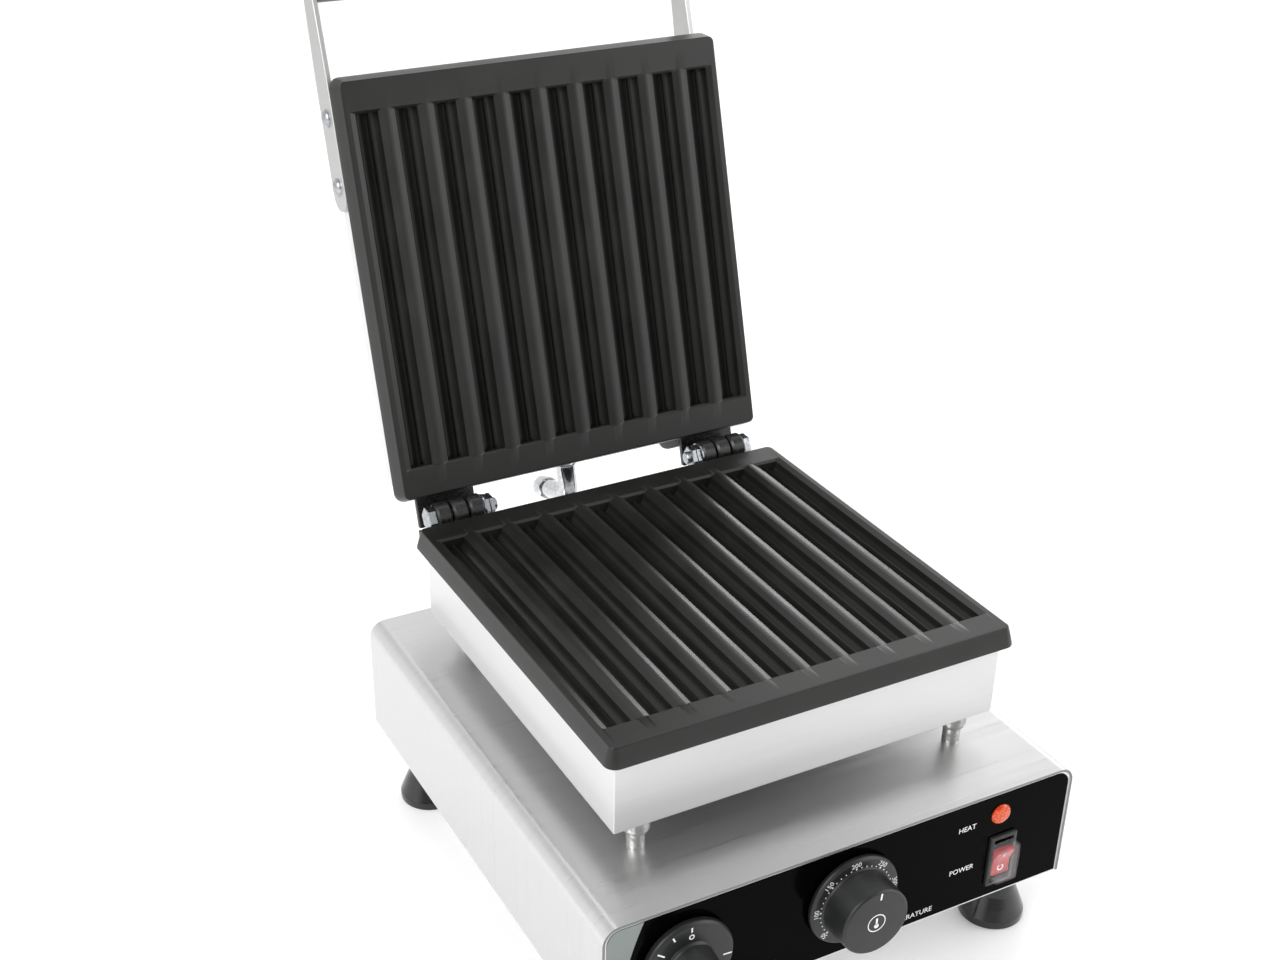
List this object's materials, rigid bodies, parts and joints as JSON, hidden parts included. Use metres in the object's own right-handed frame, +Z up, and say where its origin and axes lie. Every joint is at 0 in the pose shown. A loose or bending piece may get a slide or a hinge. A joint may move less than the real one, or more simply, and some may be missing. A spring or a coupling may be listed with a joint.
{
  "type": "stick waffle baker",
  "caption": "Countertop baker with two hinged cast plates for waffle sticks, on a steel control box with conical feet, knobs and a covered power switch.",
  "frame": {"origin": "on the floor under the feet, in the middle of the overall width and depth with the lid open", "axes": "+X to the machine's right as seen from the front, +Y to the back, +Z up"},
  "size_m": [0.3, 0.468, 0.5047],
  "materials": {
    "stainless": "brushed",
    "cast_plate": "dark non-stick coating on cast metal",
    "overlay": "gloss, printed",
    "foot_plastic": "gloss",
    "zinc": "zinc plated",
    "chrome": "polished",
    "heater_tube": "heat-stained",
    "wool": "fibrous",
    "hinge_iron": "black, satin",
    "handle_steel": "brushed",
    "grip_black": "satin",
    "knob_black": "satin",
    "case_plastic": "matte",
    "lens_orange": "gloss, translucent",
    "rocker_black": "satin",
    "rocker_red": "gloss, translucent",
    "clear_cover": "clear, soft",
    "gland_black": "matte",
    "seal_rubber": "matte"
  },
  "bodies": {
    "base": {"base_shell": "stainless", "front_panel": "stainless", "rear_panel": "stainless", "bottom_plate": "stainless", "lower_pan": "stainless", "lower_plate": "cast_plate", "control_overlay": "overlay", "foot_front_left": "foot_plastic", "foot_front_right": "foot_plastic", "foot_rear_left": "foot_plastic", "foot_rear_right": "foot_plastic", "foot_screws": "zinc", "foot_nuts": "zinc", "standoff_nuts": "zinc", "hinge_nuts": "zinc", "hinge_washers": "zinc", "hinge_bolt_left": "zinc", "hinge_bolt_right": "zinc", "base_hinge_screws": "zinc", "standoff_front_left": "chrome", "standoff_front_right": "chrome", "standoff_rear_left": "chrome", "standoff_rear_right": "chrome", "lower_heater": "heater_tube", "lower_insulation": "wool", "base_hinge_left": "hinge_iron", "base_hinge_right": "hinge_iron", "thermostat_body": "case_plastic", "timer_body": "case_plastic", "lamp_body": "case_plastic", "terminal_block": "case_plastic", "lamp_lens": "lens_orange", "rocker_housing": "rocker_black", "rocker_cover": "clear_cover", "mains_gland": "gland_black", "lead_gland": "gland_black", "gland_seals": "seal_rubber"},
    "lid": {"lid_cover": "stainless", "upper_plate": "cast_plate", "upper_heater": "heater_tube", "upper_insulation": "wool", "lid_screws": "zinc", "lid_hinge_left": "hinge_iron", "lid_hinge_right": "hinge_iron", "lid_hinge_screws": "zinc", "handle_arm_left": "handle_steel", "handle_arm_right": "handle_steel", "handle_grip": "grip_black", "handle_screws": "zinc", "handle_nuts": "zinc", "grip_screws": "zinc", "lead_elbow": "chrome", "lead_elbow_nut": "chrome", "lid_stop_tab": "stainless"},
    "thermostat_dial": {"thermostat_knob": "knob_black", "thermostat_shaft": "zinc"},
    "timer_dial": {"timer_knob": "knob_black", "timer_shaft": "zinc"},
    "rocker": {"rocker_button": "rocker_red"}
  },
  "joints": [
    {"name": "lid_hinge", "type": "hinge", "parent": "base", "child": "lid", "pos_m": [0, 0.09241, 0.1921], "axis": [1, 0, 0], "range_deg": [0, 106.6]},
    {"name": "thermostat_turn", "type": "hinge", "parent": "base", "child": "thermostat_dial", "pos_m": [0.001, -0.20999, 0.081], "axis": [0, 1, 0], "range_deg": [-80, 190]},
    {"name": "timer_turn", "type": "hinge", "parent": "base", "child": "timer_dial", "pos_m": [-0.102, -0.20999, 0.081], "axis": [0, 1, 0], "range_deg": [0, 266]},
    {"name": "rocker_tilt", "type": "hinge", "parent": "base", "child": "rocker", "pos_m": [0.1038, -0.20699, 0.0686], "axis": [1, 0, 0], "range_deg": [-22, 0]}
  ]
}
